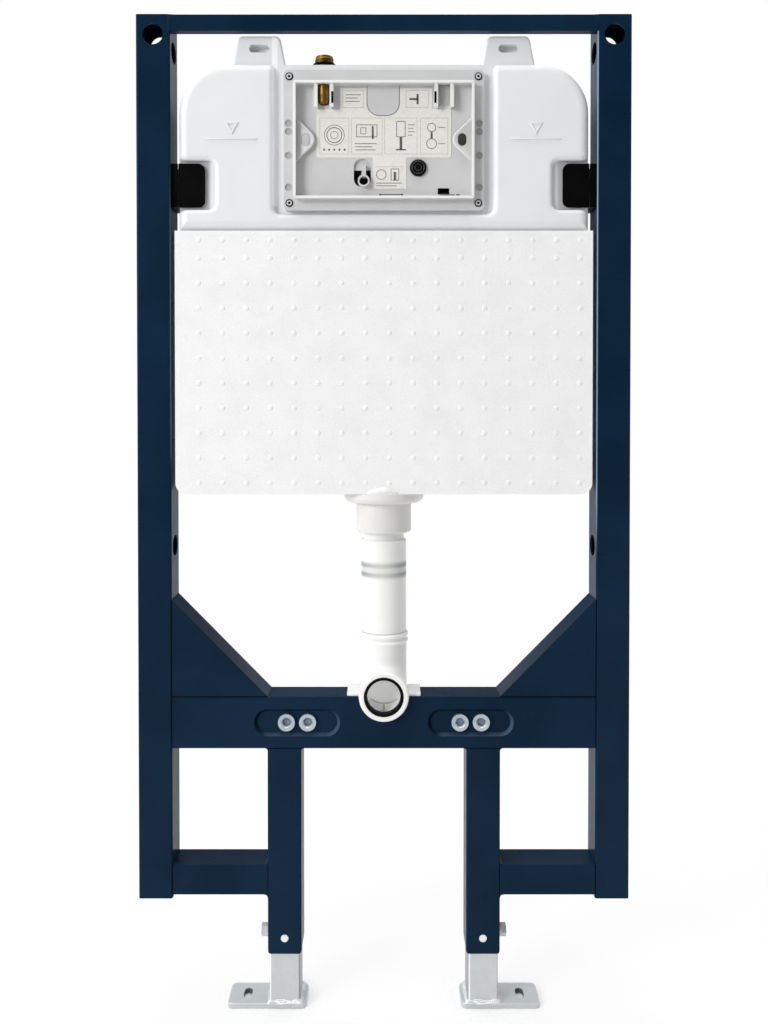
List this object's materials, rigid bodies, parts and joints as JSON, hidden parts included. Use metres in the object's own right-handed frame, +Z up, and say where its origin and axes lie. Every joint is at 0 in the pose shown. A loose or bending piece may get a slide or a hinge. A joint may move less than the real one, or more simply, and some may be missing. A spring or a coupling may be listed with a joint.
{
  "type": "wall hung toilet frame",
  "caption": "Welded steel frame with a slim concealed cistern, flush elbow and telescoping feet, built into a wall to carry a wall hung toilet.",
  "frame": {"origin": "on the back face of the bolt beam, on the centre line, in the web under the pipe notch", "axes": "+Z up, +Y out of the back of the frame towards the wall, +X to the right seen from the front"},
  "size_m": [0.58, 0.0983, 1.1715],
  "materials": {
    "frame_paint": "dark blue satin powder coat",
    "zinc_insert": "bright zinc",
    "galvanised_foot": "hot dip galvanised",
    "cistern_plastic": "white blow moulded plastic",
    "jacket_foam": "white expanded foam",
    "box_plastic": "pale grey moulded plastic",
    "inlet_brass": "turned brass",
    "black_rubber": "black rubber",
    "card": "warm white card",
    "bracket_black": "black coated",
    "pipe_plastic": "white satin plastic"
  },
  "bodies": {
    "frame": {"left_post": "frame_paint", "right_post": "frame_paint", "top_rail": "frame_paint", "bolt_beam": "frame_paint", "left_gusset": "frame_paint", "right_gusset": "frame_paint", "left_leg": "frame_paint", "right_leg": "frame_paint", "left_lower_rail": "frame_paint", "right_lower_rail": "frame_paint", "left_bolt_inserts": "zinc_insert", "right_bolt_inserts": "zinc_insert", "left_clamp_bolt": "zinc_insert", "right_clamp_bolt": "zinc_insert", "cistern_tank": "cistern_plastic", "insulation_jacket": "jacket_foam", "access_frame": "box_plastic", "cover_plate": "box_plastic", "inlet_clip": "box_plastic", "spare_clip": "box_plastic", "flush_rod_guide": "box_plastic", "inlet_valve": "inlet_brass", "inlet_washer": "black_rubber", "rubber_plug": "black_rubber", "elbow_seal": "black_rubber", "instruction_sheet": "card", "left_tank_bracket": "bracket_black", "right_tank_bracket": "bracket_black", "outlet_nut": "pipe_plastic", "outlet_collar": "pipe_plastic", "flush_pipe": "pipe_plastic", "flush_elbow": "pipe_plastic", "pipe_saddle": "pipe_plastic"},
    "left_foot": {"left_foot_tube": "galvanised_foot", "left_foot_plate": "galvanised_foot"},
    "right_foot": {"right_foot_tube": "galvanised_foot", "right_foot_plate": "galvanised_foot"}
  },
  "joints": [
    {"name": "left_foot_slide", "type": "slide", "parent": "frame", "child": "left_foot", "axis": [0, 0, -1], "range_m": [-0.054, 0.14]},
    {"name": "right_foot_slide", "type": "slide", "parent": "frame", "child": "right_foot", "axis": [0, 0, -1], "range_m": [-0.054, 0.14]}
  ]
}
